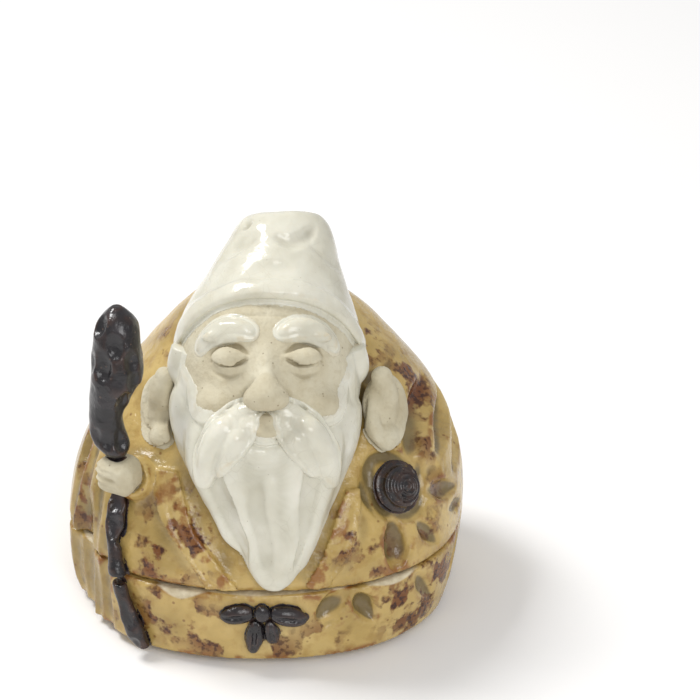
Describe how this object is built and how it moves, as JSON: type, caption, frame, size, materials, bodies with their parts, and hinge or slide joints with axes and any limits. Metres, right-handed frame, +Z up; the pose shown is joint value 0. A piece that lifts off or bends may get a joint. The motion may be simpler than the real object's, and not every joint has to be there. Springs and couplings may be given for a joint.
{
  "type": "incense box",
  "caption": "Lidded stoneware incense box in the form of a seated old man with a beard, tall cap and staff; the upper body lifts off the lower robe.",
  "frame": {"origin": "middle of the foot's underside, on the surface that the box stands on", "axes": "+Z up, the face looks towards -Y, +X to the viewer's right"},
  "size_m": [0.0657, 0.0579, 0.0667],
  "materials": {
    "robe_glaze": "glossy amber glaze with iron flecks",
    "white_glaze": "glossy crackled white glaze",
    "bisque": "matt unglazed clay",
    "iron_glaze": "glossy black iron glaze"
  },
  "bodies": {
    "base": {"bowl": "robe_glaze", "bow_knot": "iron_glaze", "bow_loop_left": "iron_glaze", "bow_loop_right": "iron_glaze", "bow_tail_left": "iron_glaze", "bow_tail_right": "iron_glaze", "staff_foot": "iron_glaze"},
    "lid": {"lid_shell": "robe_glaze", "head": "bisque", "cap": "white_glaze", "beard": "white_glaze", "moustache_left": "white_glaze", "moustache_right": "white_glaze", "eyebrow_left": "white_glaze", "eyebrow_right": "white_glaze", "ear_left": "bisque", "ear_right": "bisque", "hand": "bisque", "cuff": "robe_glaze", "staff_head": "iron_glaze", "staff_shaft": "iron_glaze", "clasp": "iron_glaze", "lapel_left": "robe_glaze", "lapel_right": "robe_glaze"}
  },
  "joints": [
    {"name": "lid_lift", "type": "slide", "parent": "base", "child": "lid", "axis": [0, 0, 1], "range_m": [0, 0.05]}
  ]
}
